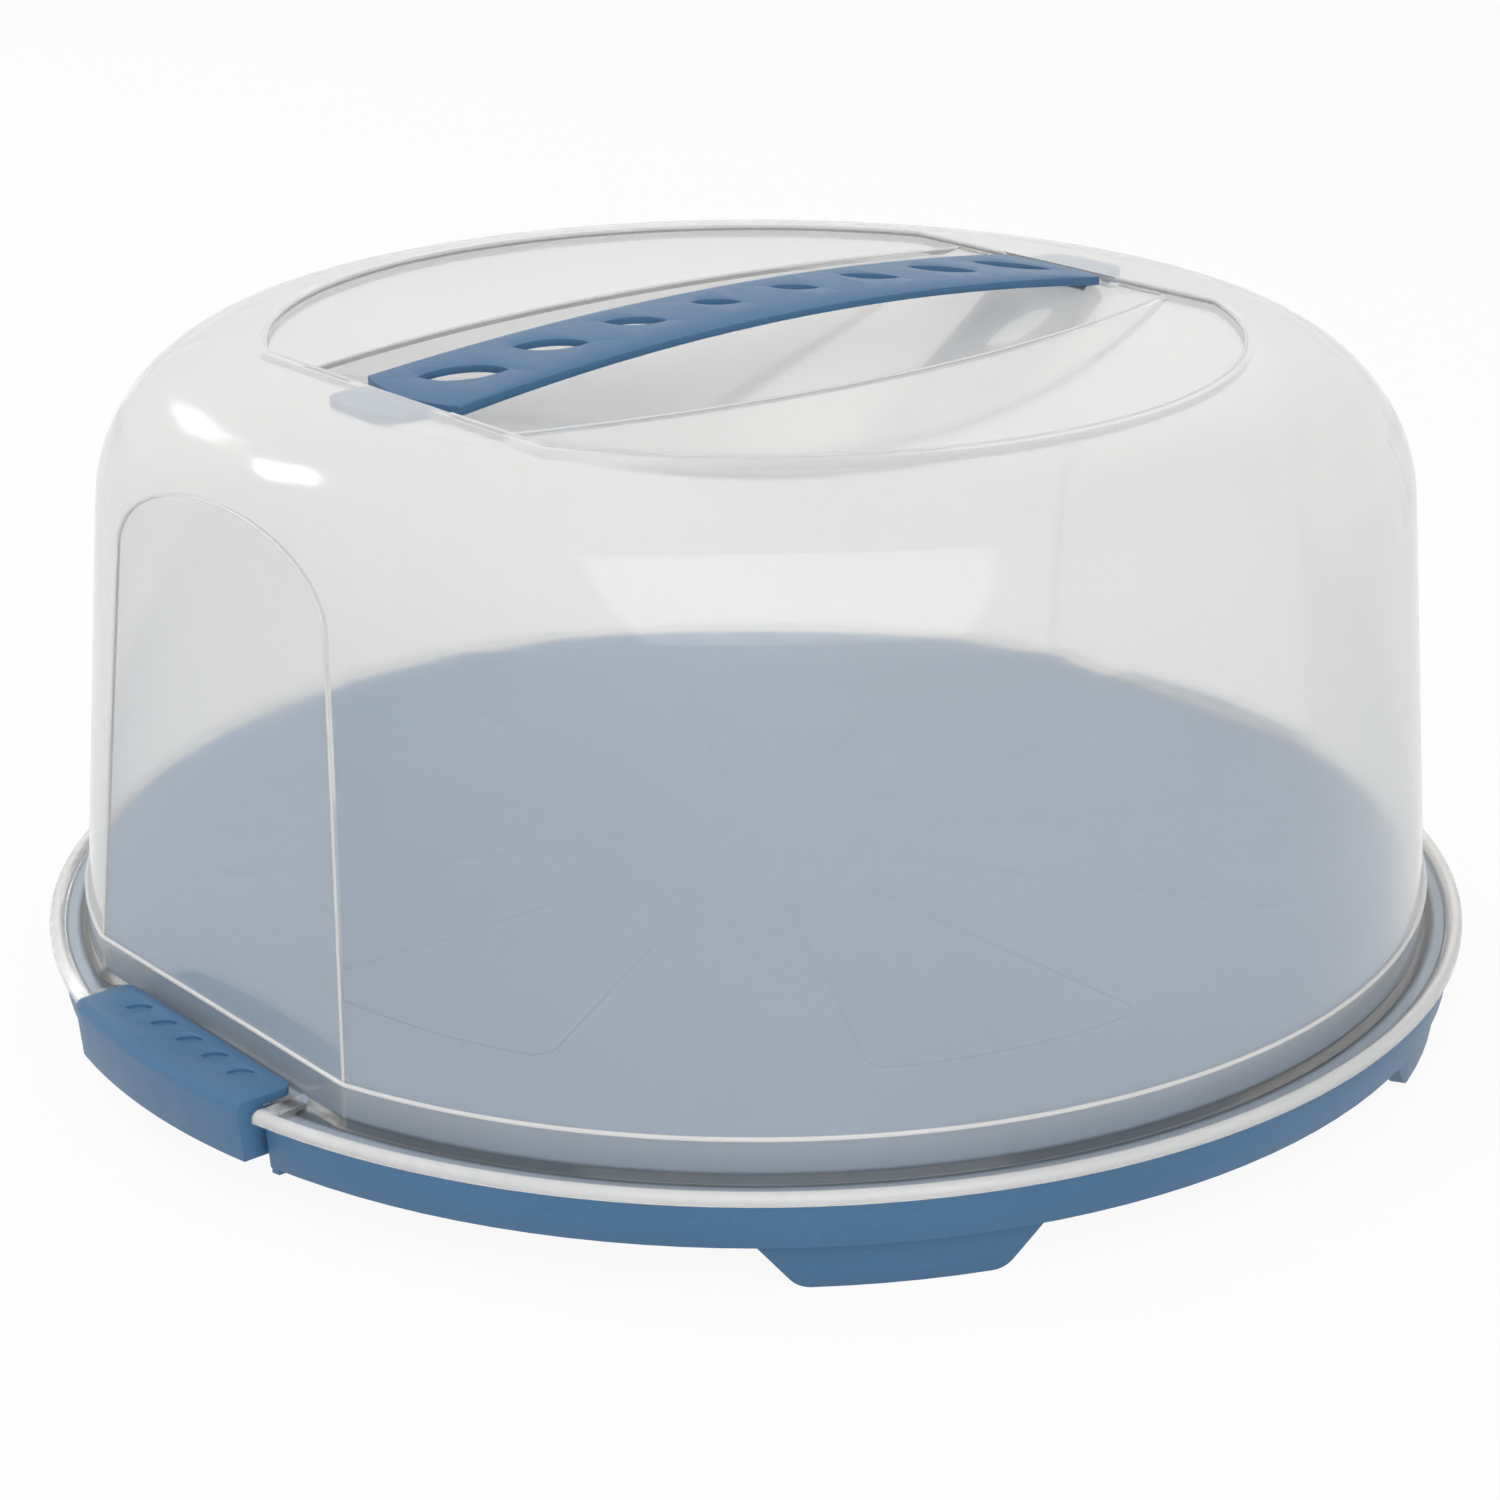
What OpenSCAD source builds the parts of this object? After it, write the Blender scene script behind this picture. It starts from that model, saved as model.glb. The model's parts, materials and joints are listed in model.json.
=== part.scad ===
// Round cake carrier: a tray on four feet, a lift-off clear hood with a carry
// handle on top, and two clips hinged on the tray that lie over the hood's rim.
// Origin: middle of the footprint, on the table. +Z is up; the handle and the
// two clips lie along X. Lengths are in millimetres.

/* [Tray] */
// How far the skirt's upper edge lies inside the hood's rim
tray_in = 2.1; // [1.6:0.1:3.6]
// Height of the skirt from its lower edge to the flange's top
skirt_h = 9.9; // [8.5:0.1:13]
// Draft of the skirt
skirt_draft = 4.5; // [1:0.5:8]
// Wall thickness of the tray
tray_wall = 2; // [1.6:0.1:2.6]
// Gap between the raised cake plate and the hood round it
plate_gap = 1.2; // [0.8:0.1:2]
// Height of the cake plate above the flange
plate_h = 10.1; // [6:0.1:10.6]
// Depth of the stiffening ribs under the cake plate
rib_h = 6; // [3:0.5:7]
// Thickness of the stiffening ribs
rib_t = 1.6; // [1.2:0.1:2.4]
// Number of radial ribs
rib_count = 12; // [6:1:18]
// Number of portions that the marks on the plate divide a cake into
portions = 12; // [6:2:16]
// Outer radius of the portion marks
mark_r = 131; // [100:1:140]
// Depth of the portion marks
mark_depth = 0.3; // [0.2:0.05:0.6]

/* [Feet] */
// Height of the feet below the skirt
foot_h = 10.5; // [6:0.5:16]
// Angle of each foot from the X axis
foot_angle = 60; // [45:1:70]
// Width of a foot across its lower edge, corner rounds left out
foot_w = 38; // [28:1:50]
// Thickness of a foot
foot_t = 3.2; // [2:0.1:5]
// Corner radius of a foot
foot_corner = 6; // [3:0.5:8]
// Slope of a foot's two sides
foot_slope = 48; // [40:1:75]

/* [Hood] */
// Diameter over the hood's rim
rim_d = 345; // [300:1:400]
// Width of the gutter, from the rim's edge to the upright band
gutter_w = 9.1; // [8.4:0.1:11]
// Wall thickness of the hood
hood_wall = 1.6; // [1.2:0.1:1.9]
// Gap between the hood's seat and the tray's flange
seat_gap = 0.2; // [0.1:0.05:0.4]
// Radius of the bead round the rim
bead_r = 1.6; // [1.2:0.1:1.8]
// Height of the bead's crest above the gutter's floor
bead_h = 1.8; // [1.4:0.1:2.4]
// Height of the bead and its skirt together
rim_skirt_h = 2.6; // [2:0.1:3]
// Height of the upright band from the gutter's floor to the ledge
band_h = 9.8; // [9.7:0.1:12]
// Width of the ledge on top of the band
ledge_w = 0.7; // [0.4:0.1:1.2]
// Height of the hood from the ledge to its top
hood_h = 128.2; // [100:1:170]
// Draft of the wall
wall_draft = 5; // [2:0.5:6]
// Radius of the shoulder between wall and top
shoulder_r = 37; // [24:1:44]
// Depth of each flat, at the ledge
flat_cut = 7.7; // [6.5:0.1:9]
// Draft of the flats
flat_draft = 3.7; // [2:0.1:4.5]

/* [Hood top] */
// Width of the flat between the shoulder and the sunken panel
panel_in = 3.9; // [2.5:0.1:10]
// Depth of the straight cut at each end of the panel
panel_cut = 12.7; // [9:0.1:18]
// Depth of the panel below the hood's top
panel_step = 1.5; // [1:0.1:2.5]
// Depth of the finger trough below the panel
trough_depth = 16; // [10:0.5:24]
// Width of the trough at its middle
trough_w = 104; // [80:1:116]
// Width of the trough at its ends
trough_end_w = 72; // [50:1:76]

/* [Handle] */
// Width of the handle
handle_w = 35; // [28:0.5:42]
// How much each side of the handle draws in at the middle
handle_waist = 1.8; // [0.5:0.1:4]
// Gap between each end's tip and the panel's edge
handle_end_gap = 0.3; // [0.2:0.1:1]
// Bulge of each rounded end
handle_bulge = 3.5; // [2:0.5:6]
// Height of the handle's crown above the panel
handle_h = 8.8; // [6:0.1:14]
// Height of the handle's ends above the panel
handle_end_h = 1.9; // [1.6:0.1:2.4]
// Thickness of the handle's top
handle_t = 1.7; // [1.2:0.1:2]
// Depth of the handle's rim below its bevels, at the middle
handle_rim = 1.2; // [1:0.1:3]
// Half width of the flat between the bevels, at the middle
handle_flat = 10.5; // [7:0.5:13]
// Drop of each bevel at the middle
bevel_drop = 1.6; // [0.8:0.1:2.2]
// Number of slots along the handle
slot_count = 8; // [4:2:10]
// Distance from the middle of each end slot to the handle's corner
slot_end = 13.4; // [13:0.1:30]
// Length of the two middle slots
slot_len = 12; // [8:0.5:14]
// Growth of each slot over the one before it, towards the ends
slot_growth = 2.7; // [0:0.1:3]
// Angle of the slots to the handle
slot_angle = -42; // [-50:1:45]
// Width of each tongue that snaps under the hood's top
tongue_w = 26; // [18:0.5:30]
// Reach of each tongue past the panel's edge
tongue_reach = 12; // [6:0.5:16]
// Thickness of each tongue
tongue_t = 1.8; // [1.4:0.1:2]

/* [Clips] */
// Length of each clip along its hinge
clip_len = 67.6; // [50:0.2:76]
// Wall thickness of a clip
clip_wall = 1.9; // [1.5:0.1:2.4]
// How far the clip's face stands out past the rim
clip_proud = 2.4; // [2.1:0.1:5]
// Height of the clip's face
clip_h = 13.8; // [12:0.2:15]
// Inward lean of the clip's face from top to bottom
clip_lean = 1.1; // [0:0.1:2]
// Round of the clip's upper edge
clip_round = 1.9; // [0.5:0.1:2.4]
// Gap between the clip's top plate and the height of the rim's crest
clip_gap = 0.25; // [0.2:0.05:0.4]
// Drop of the hood's seat under a clip's plate, below the rim's crest
seat_drop = 0.6; // [0.2:0.1:0.8]
// Reach of the seat's sloping face past a clip's inner edge
seat_reach = 2.4; // [1.6:0.1:3]
// Gap between the clip's inner edge and the hood's band
clip_inset = 1.9; // [1:0.1:3]
// Gap at each end of a clip
clip_end_gap = 1.2; // [0.8:0.1:2]
// Distance of the hinge in from the rim's edge
pin_in = 9; // [8.4:0.1:9.8]
// Drop of the hinge below the tray's flange top
pin_drop = 5; // [4.6:0.1:5.6]
// Diameter of a hinge pin
pin_d = 3; // [2:0.1:3.4]
// Radial clearance of a pin in its holes
pin_clear = 0.05; // [0.02:0.01:0.1]
// Wall round a pin's hole
boss_wall = 1.6; // [1.2:0.1:1.8]
// Thickness of each hinge lug on the tray
lug_t = 5; // [3:0.5:8]
// Distance from a lug to the clip's cheek
lug_gap = 1.5; // [0.5:0.1:4]
// Number of dimples on a clip
dimple_count = 5; // [3:1:7]
// Distance between dimples
dimple_pitch = 10.6; // [8:0.1:11]
// Length of a dimple
dimple_len = 6.2; // [3:0.1:7]
// Depth of a dimple
dimple_depth = 0.6; // [0.3:0.05:1]

/* [Hidden] */
$fn = 180;
fine = 720;
eps = 0.01;

// Heights, stacked from the table up
skirt_z = foot_h;
flange_z = skirt_z + skirt_h;
plate_z = flange_z + plate_h;
seat_z = flange_z + seat_gap;
floor_z = seat_z + hood_wall;
crest_z = floor_z + bead_h;
ledge_z = floor_z + band_h;
top_z = ledge_z + hood_h;
panel_z = top_z - panel_step;
pin_z = flange_z - pin_drop;
clip_under_z = crest_z + clip_gap;
clip_top_z = clip_under_z + clip_wall;
clip_low_z = clip_top_z - clip_h;

// Rim and wall
rim_r = rim_d / 2;
band_r = rim_r - gutter_w;
wall_r = band_r - ledge_w;
flat_x = wall_r - flat_cut;
band_flat_x = band_r - flat_cut;

// Tray
tray_r = rim_r - tray_in;
skirt_low_r = tray_r - skirt_h * tan(skirt_draft);
plate_r = band_r - hood_wall - plate_gap;
plate_flat_x = band_flat_x - hood_wall - plate_gap;
mark_corner = 5;
mark_in_r = 40;
mark_line = 0.5;
rib_rings = [plate_r * 0.34, plate_r * 0.67];
hub_r = 20;

// Hood
shoulder_z = top_z - shoulder_r;
tangent_z = shoulder_z + shoulder_r * sin(wall_draft);
shoulder_x = wall_r - (tangent_z - ledge_z) * tan(wall_draft) - shoulder_r * cos(wall_draft);
bead_x = rim_r - bead_r;
bead_z = crest_z - bead_r;
bead_low_z = crest_z - rim_skirt_h;
fillet_w = 1.4;
fillet_h = 1.6;
fillet_lap = 0.4;
gutter_out_r = bead_x - bead_r - 1.1;
notch_half = clip_len / 2 + clip_end_gap;
pin_x = rim_r - pin_in;
pad_x = pin_x + 1.2;
pad_half = notch_half + 4.5;
pad_corner = 4;
pad_rim = 1.4;
pad_end = 2;

// Panel and trough
panel_r = shoulder_x - panel_in;
panel_x = panel_r - panel_cut;
trough_rise = (trough_w - trough_end_w) / 2;
trough_side_r = (pow(panel_x, 2) + pow(trough_rise, 2)) / (2 * trough_rise);
trough_floor_r = (pow(panel_x, 2) + pow(trough_depth, 2)) / (2 * trough_depth);

// Handle
tip_x = panel_x - handle_end_gap;
corner_x = tip_x - handle_bulge;
end_r = (pow(handle_w / 2, 2) + pow(handle_bulge, 2)) / (2 * handle_bulge);
waist_r = (pow(corner_x + 1, 2) + pow(handle_waist, 2)) / (2 * handle_waist);
crown_z = panel_z + handle_h;
end_z = panel_z + handle_end_h;
handle_edge = 2.1;
handle_heel = 1.6;
handle_gap = 0.2;
handle_low_z = end_z - handle_edge;
handle_seat_z = handle_low_z - handle_gap;
seat_len = 6;
seat_side = 0.3;
tongue_top_z = top_z - hood_wall - handle_gap;
tongue_low_z = tongue_top_z - tongue_t;
tongue_corner = 6;
tongue_neck = 2.4;
neck_x = corner_x + 0.4;
neck_in = 0.5;
slot_clear = 0.5;
slot_pitch = 2 * (corner_x - slot_end) / (slot_count - 1);
slot_shape = 0.48;

// Clips
clip_r = rim_r + clip_proud;
boss_r = pin_d / 2 + boss_wall;
clip_in_x = band_flat_x + clip_inset;
clip_corner = 2.5;
cheek_t = clip_wall + 0.3;
cheek_gap = 0.5;
dimple_x = clip_in_x + 5;
dimple_angle = -40;

// Pocket
pocket_half = notch_half + 1.3;
pocket_low_z = skirt_z - 1.4;
pocket_x = plate_flat_x + 5;

// Radius of the arc through both ends and the middle of a chord
function arc_r(half, rise) = (half * half + rise * rise) / (2 * rise);

// Points of an arc about a centre, from angle a to angle b
function arc(centre, r, a, b, n) =
    [for (i = [0:n]) centre + r * [cos(a + (b - a) * i / n), sin(a + (b - a) * i / n)]];

// Both ends of the X axis
module both_ends() {
    for (a = [0, 180]) rotate(a) children();
}

// A lens: the overlap of two discs, by its length and width
module lens(len, wid) {
    r = arc_r(len / 2, wid / 2);
    intersection() {
        translate([0, r - wid / 2]) circle(r = r);
        translate([0, wid / 2 - r]) circle(r = r);
    }
}

// A disc with two flats across the X axis
module flatted_disc(r, x) {
    intersection() {
        circle(r = r);
        square([2 * x, 4 * r], center = true);
    }
}

// A long cylinder along Y whose top line lies at height z
module barrel(r, z) {
    translate([0, 0, z - r]) rotate([90, 0, 0]) cylinder(r = r, h = 300, center = true, $fn = fine);
}

// One portion field: two radial sides, an outer arc and rounded corners
module portion_field(inset) {
    half = 180 / portions;
    out_r = mark_r - inset - mark_corner;
    a_out = half - asin((inset + mark_corner) / out_r);
    pts = concat(
        arc(out_r * [cos(a_out), -sin(a_out)], mark_corner, -half - 90, -a_out, 6),
        arc([0, 0], mark_r - inset, -a_out, a_out, 12),
        arc(out_r * [cos(a_out), sin(a_out)], mark_corner, a_out, half + 90, 6),
        [mark_in_r * [cos(half), sin(half)] + inset * [sin(half), -cos(half)]],
        [mark_in_r * [cos(half), -sin(half)] + inset * [sin(half), cos(half)]]);
    polygon(pts);
}

// Fine lines round every second portion
module portion_marks() {
    step = 360 / portions;
    for (i = [0:portions / 2 - 1]) rotate((2 * i + 0.5) * step)
        translate([0, 0, plate_z - mark_depth]) linear_extrude(mark_depth + 1) difference() {
            portion_field(0);
            portion_field(mark_line);
        }
}

// Outline of a foot across its width, from its lower edge up
module foot_face() {
    x = foot_w / 2;
    r = foot_corner;
    a = foot_slope;
    top = [x + r * sin(a) + (flange_z - r * (1 - cos(a))) / tan(a), flange_z];
    side = concat(arc([x, r], r, -90, a - 90, 6), [top]);
    polygon(concat(side, [for (i = [len(side) - 1:-1:0]) [-side[i][0], side[i][1]]]));
}

// A curved blade that hangs from the flange just inside the skirt
module foot() {
    out_r = skirt_low_r - tray_wall - 0.4;
    join_r = tray_r - tray_wall / 2;
    high_z = flange_z - tray_wall / 2;
    intersection() {
        rotate_extrude()
            polygon([[out_r - foot_t, 0], [out_r, 0], [out_r + 0.2, skirt_z], [join_r - 1, skirt_z + 0.6],
                     [join_r - 0.6, high_z], [out_r - foot_t, high_z]]);
        rotate([90, 0, 90]) linear_extrude(tray_r) foot_face();
    }
}

// Ribs under the cake plate: two rings and straight spokes
module tray_ribs() {
    rib_z = plate_z - tray_wall - rib_h;
    for (r = rib_rings) translate([0, 0, rib_z]) difference() {
        cylinder(r = r + rib_t / 2, h = rib_h + eps);
        translate([0, 0, -1]) cylinder(r = r - rib_t / 2, h = rib_h + 2);
    }
    intersection() {
        union() for (i = [0:rib_count - 1]) rotate((i + 0.5) * 360 / rib_count)
            translate([hub_r, -rib_t / 2, rib_z]) cube([plate_r, rib_t, rib_h + eps]);
        translate([0, 0, rib_z - 1]) linear_extrude(rib_h + 4)
            flatted_disc(plate_r - tray_wall / 2, plate_flat_x - tray_wall / 2);
    }
}

// Pocket in the skirt that the clip swings in, with its lugs
module hinge_pocket() {
    back_x = plate_flat_x - tray_wall;
    wall_h = flange_z - tray_wall / 2 - pocket_low_z;
    intersection() {
        translate([0, 0, pocket_low_z]) union() {
            translate([back_x, -pocket_half - tray_wall, 0])
                cube([tray_wall, 2 * (pocket_half + tray_wall), wall_h]);
            for (y = [-pocket_half - tray_wall, pocket_half]) translate([back_x, y, 0])
                cube([rim_r, tray_wall, wall_h]);
        }
        cylinder(r = skirt_low_r - 0.3, h = flange_z);
    }
    lug_y = clip_len / 2 - cheek_t - lug_gap - lug_t;
    for (s = [-1, 1]) translate([0, s * (lug_y + lug_t / 2) + lug_t / 2, 0]) rotate([90, 0, 0])
        linear_extrude(lug_t) {
            translate([pin_x, pin_z]) circle(r = boss_r);
            translate([back_x, pin_z - boss_r]) square([pin_x - back_x, 2 * boss_r]);
        }
}

// The raised plate that the cake stands on, with the ribs under it
module tray_plate() {
    color("steelblue") difference() {
        union() {
            difference() {
                translate([0, 0, flange_z]) linear_extrude(plate_z - flange_z)
                    flatted_disc(plate_r, plate_flat_x);
                translate([0, 0, flange_z - 1]) linear_extrude(plate_z - tray_wall - flange_z + 1)
                    flatted_disc(plate_r - tray_wall, plate_flat_x - tray_wall);
            }
            tray_ribs();
        }
        portion_marks();
    }
}

// The flange round the plate and its skirt, with the pockets, lugs and feet
module tray_skirt() {
    color("steelblue") difference() {
        union() {
            difference() {
                translate([0, 0, skirt_z]) cylinder(r1 = skirt_low_r, r2 = tray_r, h = skirt_h);
                translate([0, 0, skirt_z - 1]) linear_extrude(skirt_h + 2)
                    flatted_disc(plate_r - tray_wall, plate_flat_x - tray_wall);
                translate([0, 0, skirt_z - eps])
                    cylinder(r1 = skirt_low_r - tray_wall, r2 = tray_r - tray_wall,
                             h = skirt_h - tray_wall + eps);
                both_ends() translate([pocket_x, -pocket_half, skirt_z - 1])
                    cube([rim_r, 2 * pocket_half, skirt_h + 2]);
            }
            both_ends() hinge_pocket();
            for (a = [foot_angle, 180 - foot_angle, 180 + foot_angle, -foot_angle]) rotate(a) foot();
        }
        both_ends() translate([pin_x, 0, pin_z]) rotate([90, 0, 0])
            cylinder(d = pin_d + 2 * pin_clear, h = clip_len, center = true);
    }
}

// Half section of the dome from height z up, inset from the outer face
module dome_section(inset, z) {
    foot_r = wall_r - inset / cos(wall_draft) - (z - ledge_z) * tan(wall_draft);
    r = shoulder_r - inset;
    polygon([[0, z], [foot_r, z], [shoulder_x + r * cos(wall_draft), shoulder_z + r * sin(wall_draft)],
             [shoulder_x, shoulder_z], [shoulder_x, top_z - inset], [0, top_z - inset]]);
    intersection() {
        translate([shoulder_x, shoulder_z]) circle(r = r);
        translate([shoulder_x, shoulder_z]) square(2 * r);
    }
}

// Dome and band, both cut by the two flats
module hood_body(inset, low_z, step_z) {
    difference() {
        rotate_extrude() dome_section(inset, step_z);
        both_ends() translate([flat_x, 0, ledge_z]) rotate([0, -flat_draft, 0])
            translate([-inset, -rim_r, -20]) cube([60, rim_d, hood_h + 30]);
    }
    translate([0, 0, low_z]) linear_extrude(step_z - low_z + eps)
        flatted_disc(band_r - inset, band_flat_x - inset);
}

// Half section of the rim: a gutter floor with a bead at its edge
module rim_section() {
    polygon([[0, seat_z], [gutter_out_r, seat_z], [bead_x - bead_r, bead_low_z], [rim_r, bead_low_z],
             [rim_r, bead_z], [bead_x, crest_z], [bead_x - bead_r * 0.8, bead_z + bead_r * 0.6],
             [gutter_out_r, floor_z], [0, floor_z]]);
    translate([bead_x, bead_z]) circle(r = bead_r);
}

// Section of the fillet from the band's foot into the gutter, at a distance from the middle
module fillet_section(x) {
    polygon([[x - 1, floor_z - eps], [x + fillet_w, floor_z - eps],
             [x, floor_z + fillet_h], [x - 1, floor_z + fillet_h]]);
}

// The fillet: round beside the band, straight along the flats
module gutter_fillet() {
    half = sqrt(pow(band_r, 2) - pow(band_flat_x, 2));
    intersection() {
        rotate_extrude() fillet_section(band_r);
        for (y = [half - fillet_lap, fillet_lap - half - rim_d]) translate([-rim_r, y, 0])
            cube([rim_d, rim_d, ledge_z]);
    }
    both_ends() translate([0, half + fillet_lap, 0]) rotate([90, 0, 0])
        linear_extrude(2 * (half + fillet_lap)) fillet_section(band_flat_x);
}

// Raised pad of the rim that the clip lies on, seen from above
module pad_face() {
    x0 = band_flat_x - hood_wall / 2;
    x1 = band_flat_x + pad_corner;
    straight = pad_half - pad_corner;
    intersection() {
        union() {
            translate([x0, -straight]) square([bead_x - x0, 2 * straight]);
            translate([x1, -pad_half]) square([bead_x - x1, 2 * pad_half]);
            for (y = [-straight, straight]) translate([x1, y]) circle(r = pad_corner);
        }
        circle(r = bead_x);
    }
}

// Outline of the trough, grown by a margin
module trough_face(grow) {
    intersection() {
        translate([0, trough_side_r - trough_w / 2]) circle(r = trough_side_r + grow, $fn = fine);
        translate([0, trough_w / 2 - trough_side_r]) circle(r = trough_side_r + grow, $fn = fine);
        square([2 * (panel_x + grow), rim_d], center = true);
    }
}

// The trough's hollow, or with a margin the material round it
module trough_block(grow) {
    low = panel_z - trough_depth - grow;
    intersection() {
        translate([0, 0, low - 1]) linear_extrude(top_z + 2 - low) trough_face(grow);
        translate([0, 0, panel_z - trough_depth + trough_floor_r]) rotate([90, 0, 0])
            cylinder(r = trough_floor_r + grow, h = rim_d, center = true, $fn = fine);
    }
}

// Seat of one handle end, or with a margin the material round it
module seat_block(grow) {
    y = handle_w / 2 + seat_side + grow;
    x = corner_x - seat_len - grow;
    translate([x, -y, handle_seat_z - grow])
        cube([panel_x + grow - x, 2 * y, top_z + 2 - handle_seat_z]);
}

// Slot in the trough's end wall that a tongue passes through
module tongue_slot() {
    x = corner_x - 0.8;
    low_z = tongue_low_z - 3 - slot_clear;
    half = tongue_w / 2 + slot_clear;
    translate([x, -half, low_z])
        cube([panel_x + hood_wall + 0.6 - x, 2 * half, top_z - hood_wall - low_z]);
}

// Hollow under the pad
module pad_hollow() {
    x = band_flat_x + pad_rim;
    translate([x, pad_end - pad_half, seat_z - 1])
        cube([pad_x - pad_rim - x, 2 * (pad_half - pad_end), crest_z - hood_wall - seat_z + 1]);
}

// The dome and its band, down to the height of the rim's crest
module hood() {
    color("whitesmoke", 0.5) difference() {
        hood_body(0, crest_z, ledge_z);
        difference() {
            hood_body(hood_wall, crest_z - 1, ledge_z - 1);
            translate([0, 0, panel_z - hood_wall]) linear_extrude(20)
                flatted_disc(panel_r + hood_wall, panel_x + hood_wall);
            trough_block(hood_wall);
            both_ends() seat_block(hood_wall);
        }
        translate([0, 0, panel_z]) linear_extrude(20) flatted_disc(panel_r, panel_x);
        trough_block(0);
        both_ends() {
            seat_block(0);
            tongue_slot();
        }
    }
}

// The band's foot, the gutter and the bead, outside the two notches
module hood_rim_rear() {
    color("whitesmoke", 0.5) intersection() {
        difference() {
            union() {
                translate([0, 0, seat_z]) linear_extrude(crest_z - seat_z) {
                    flatted_disc(band_r, band_flat_x);
                    both_ends() pad_face();
                }
                rotate_extrude() rim_section();
                gutter_fillet();
            }
            translate([0, 0, seat_z - 1]) linear_extrude(crest_z - seat_z + 2)
                flatted_disc(band_r - hood_wall, band_flat_x - hood_wall);
            both_ends() pad_hollow();
        }
        translate([-rim_r - 1, notch_half, 0]) cube([rim_d + 2, rim_r, ledge_z]);
    }
}

module hood_rim_front() {
    rotate(180) hood_rim_rear();
}

// The seat between a notch's ends: as the hood is pulled off, its slope slides out along the
// closed clip's inner edge and swings the clip open
module hood_seat_right() {
    seat_top = crest_z - seat_drop;
    x = clip_in_x + seat_reach;
    color("whitesmoke", 0.5) translate([0, notch_half, 0]) rotate([90, 0, 0])
        linear_extrude(2 * notch_half)
            polygon([[band_flat_x - hood_wall, seat_z], [x, seat_z], [x - seat_top + seat_z, seat_top],
                     [band_flat_x, seat_top], [band_flat_x, crest_z], [band_flat_x - hood_wall, crest_z]]);
}

module hood_seat_left() {
    rotate(180) hood_seat_right();
}

// Outline from above: two sides drawn in at the middle and two bulging ends
module handle_face(inset) {
    difference() {
        union() {
            square([2 * corner_x, handle_w - 2 * inset], center = true);
            both_ends() intersection() {
                translate([tip_x - end_r, 0]) circle(r = end_r);
                translate([corner_x - 1, inset - handle_w / 2]) square([20, handle_w - 2 * inset]);
            }
        }
        for (s = [-1, 1]) translate([0, s * (handle_w / 2 - handle_waist + waist_r)])
            circle(r = waist_r + inset, $fn = 4 * fine);
    }
}

// The arched, bevelled top surface, lowered by a wall
module handle_crown(inset) {
    rise = crown_z - end_z;
    bevel_r = arc_r(corner_x, rise - bevel_drop);
    tilt = atan(bevel_drop / (handle_w / 2 - handle_flat));
    intersection() {
        barrel(arc_r(corner_x, rise) - inset, crown_z - inset);
        translate([0, handle_flat, crown_z]) rotate([-tilt, 0, 0]) barrel(bevel_r - inset, -inset);
        translate([0, -handle_flat, crown_z]) rotate([tilt, 0, 0]) barrel(bevel_r - inset, -inset);
    }
}

// A tongue with rounded corners, on a short neck below the handle's end
module tongue() {
    r = tongue_corner;
    x = panel_x + tongue_reach;
    half = tongue_w / 2;
    translate([0, 0, tongue_low_z]) linear_extrude(tongue_t) {
        translate([neck_x, -half]) square([x - r - neck_x, tongue_w]);
        translate([neck_x, r - half]) square([x - neck_x, tongue_w - 2 * r]);
        for (y = [r - half, half - r]) translate([x - r, y]) circle(r = r);
    }
    translate([neck_x, neck_in - half, tongue_low_z])
        cube([tongue_neck, tongue_w - 2 * neck_in, handle_low_z + 0.6 - tongue_low_z]);
}

// The handle's outer shape, or its hollow when inset by a wall
module handle_shape(inset) {
    intersection() {
        translate([0, 0, handle_low_z]) linear_extrude(crown_z - handle_low_z + 1) handle_face(inset);
        handle_crown(inset);
    }
}

module carry_handle() {
    low_x = corner_x - handle_heel;
    low_z = crown_z - bevel_drop - handle_rim;
    color("steelblue") difference() {
        union() {
            difference() {
                handle_shape(0);
                barrel(arc_r(low_x, low_z - handle_low_z), low_z);
                handle_shape(handle_t);
            }
            both_ends() tongue();
        }
        for (i = [0:slot_count - 1]) {
            k = i - (slot_count - 1) / 2;
            size = slot_len + slot_growth * (abs(k) - 0.5);
            translate([k * slot_pitch, 0, handle_low_z - 1]) rotate(slot_angle)
                linear_extrude(crown_z - handle_low_z + 2) lens(size, size * slot_shape);
        }
    }
}

// Half section of the clip's outer envelope
module clip_section() {
    low_r = clip_r - clip_lean;
    x = clip_r - clip_round;
    z = clip_top_z - clip_round;
    polygon([[0, clip_low_z], [low_r, clip_low_z], [clip_r, z],
             [x, z], [x, clip_top_z], [0, clip_top_z]]);
    translate([x, z]) circle(r = clip_round);
}

// Cheek at each end of a clip, with the boss round its pin
module clip_cheeks() {
    for (y = [cheek_t - clip_len / 2, clip_len / 2]) translate([0, y, 0])
        rotate([90, 0, 0]) linear_extrude(cheek_t) {
            translate([pin_x, pin_z]) circle(r = boss_r);
            translate([pin_x, clip_low_z]) square([clip_r, pin_z + boss_r - clip_low_z]);
            translate([pad_x + cheek_gap, clip_low_z])
                square([clip_r, clip_top_z - clip_low_z - clip_wall / 2]);
        }
}

// Outline from above, with the plate's two inner corners rounded
module clip_face() {
    x = clip_in_x + clip_corner;
    half = clip_len / 2;
    translate([x, -half]) square([clip_r, clip_len]);
    translate([clip_in_x, clip_corner - half]) square([clip_r, clip_len - 2 * clip_corner]);
    for (y = [clip_corner - half, half - clip_corner]) translate([x, y]) circle(r = clip_corner);
}

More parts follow.
